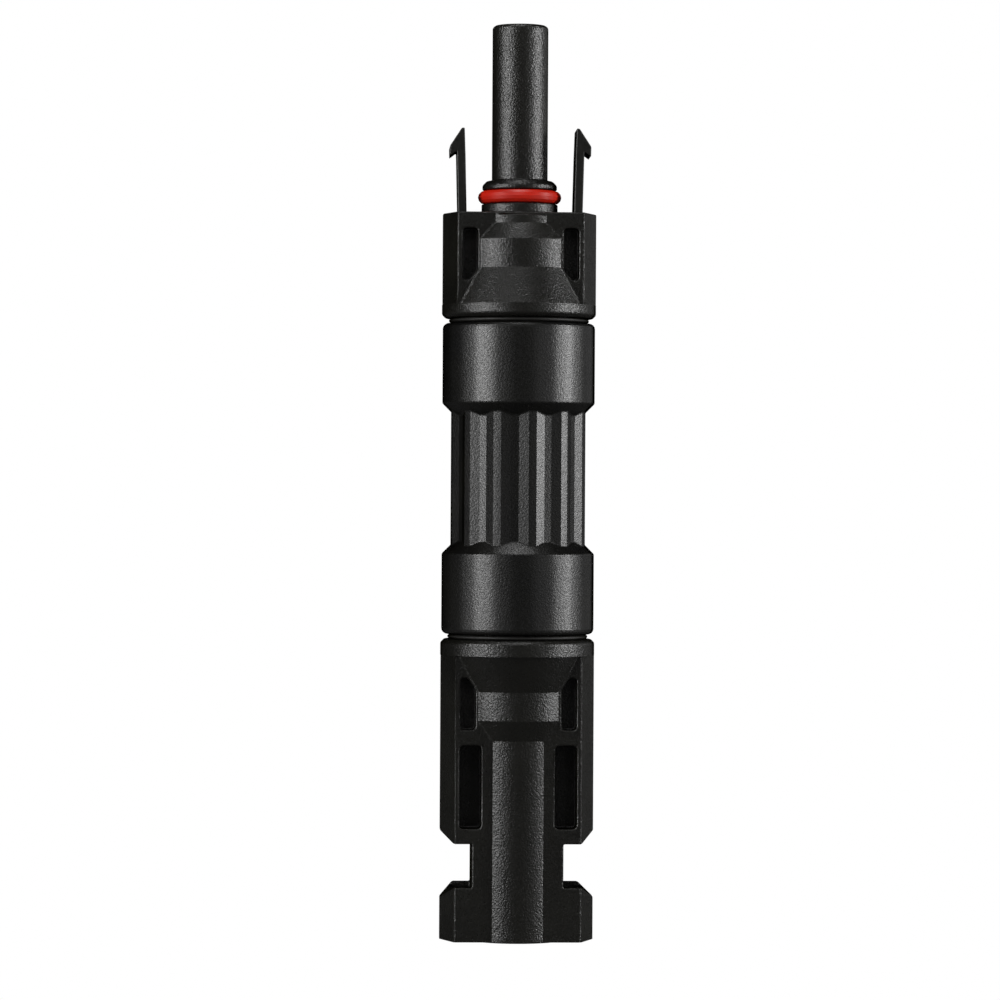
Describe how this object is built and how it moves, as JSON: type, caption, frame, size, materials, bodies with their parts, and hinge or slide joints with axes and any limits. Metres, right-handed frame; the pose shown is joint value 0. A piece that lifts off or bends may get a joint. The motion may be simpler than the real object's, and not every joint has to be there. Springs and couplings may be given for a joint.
{
  "type": "in-line solar fuse connector",
  "caption": "In-line solar fuse connector with a plug end, a ribbed fuse barrel that unscrews, sprung latch fingers and a receptacle end.",
  "frame": {"origin": "centre of the receptacle's mouth face, which it stands on", "axes": "+Z along the axis towards the probe, X across the latch fingers, front towards -Y"},
  "size_m": [0.019, 0.019, 0.1127],
  "materials": {
    "black_plastic": "fine grain",
    "barrel_plastic": "satin",
    "finger_plastic": "satin",
    "red_rubber": "satin",
    "black_rubber": "matte",
    "tinned_copper": "tinned",
    "spring_steel": "satin",
    "nickel": "plated",
    "ceramic": "unglazed",
    "silver": "bright"
  },
  "bodies": {
    "receptacle_end": {"receptacle_housing": "black_plastic", "pin_contact": "tinned_copper", "pin_retaining_clip": "spring_steel", "lower_fuse_clip": "tinned_copper", "lower_clip_ring": "spring_steel", "lower_fuse_cap": "nickel", "upper_fuse_cap": "nickel", "fuse_tube": "ceramic", "fuse_element": "silver"},
    "lower_seal": {"lower_neck_seal": "black_rubber"},
    "barrel": {"fuse_barrel": "barrel_plastic"},
    "upper_seal": {"upper_neck_seal": "black_rubber"},
    "plug_end": {"plug_housing": "black_plastic", "probe_o_ring": "red_rubber", "socket_contact": "tinned_copper", "socket_spring_band": "spring_steel", "socket_retaining_clip": "spring_steel", "upper_fuse_clip": "tinned_copper", "upper_clip_ring": "spring_steel"},
    "left_finger": {"latch_finger_left": "finger_plastic"},
    "right_finger": {"latch_finger_right": "finger_plastic"}
  },
  "joints": [
    {"name": "barrel_rise", "type": "slide", "parent": "receptacle_end", "child": "lower_seal", "axis": [0, 0, 1], "range_m": [0, 0.006]},
    {"name": "barrel_turn", "type": "hinge", "parent": "lower_seal", "child": "barrel", "pos_m": [0, 0, 0.0376], "axis": [0, 0, 1], "range_deg": [0, 900.01]},
    {"name": "plug_rise", "type": "slide", "parent": "barrel", "child": "upper_seal", "axis": [0, 0, 1], "range_m": [0, 0.006]},
    {"name": "plug_turn", "type": "hinge", "parent": "upper_seal", "child": "plug_end", "pos_m": [0, 0, 0.0765], "axis": [0, 0, 1], "range_deg": [0, 900.01]},
    {"name": "left_release", "type": "hinge", "parent": "plug_end", "child": "left_finger", "pos_m": [-0.00695, 0, 0.08174], "axis": [0, 1, 0], "range_deg": [0, 6], "stiffness_Nm_per_rad": 0.02},
    {"name": "right_release", "type": "hinge", "parent": "plug_end", "child": "right_finger", "pos_m": [0.00695, 0, 0.08174], "axis": [0, -1, 0], "range_deg": [0, 6], "stiffness_Nm_per_rad": 0.02}
  ],
  "couplings": [
    {"joint": "barrel_turn", "follows": "barrel_rise", "rad_per_m": 2618},
    {"joint": "plug_turn", "follows": "plug_rise", "rad_per_m": 2618}
  ]
}
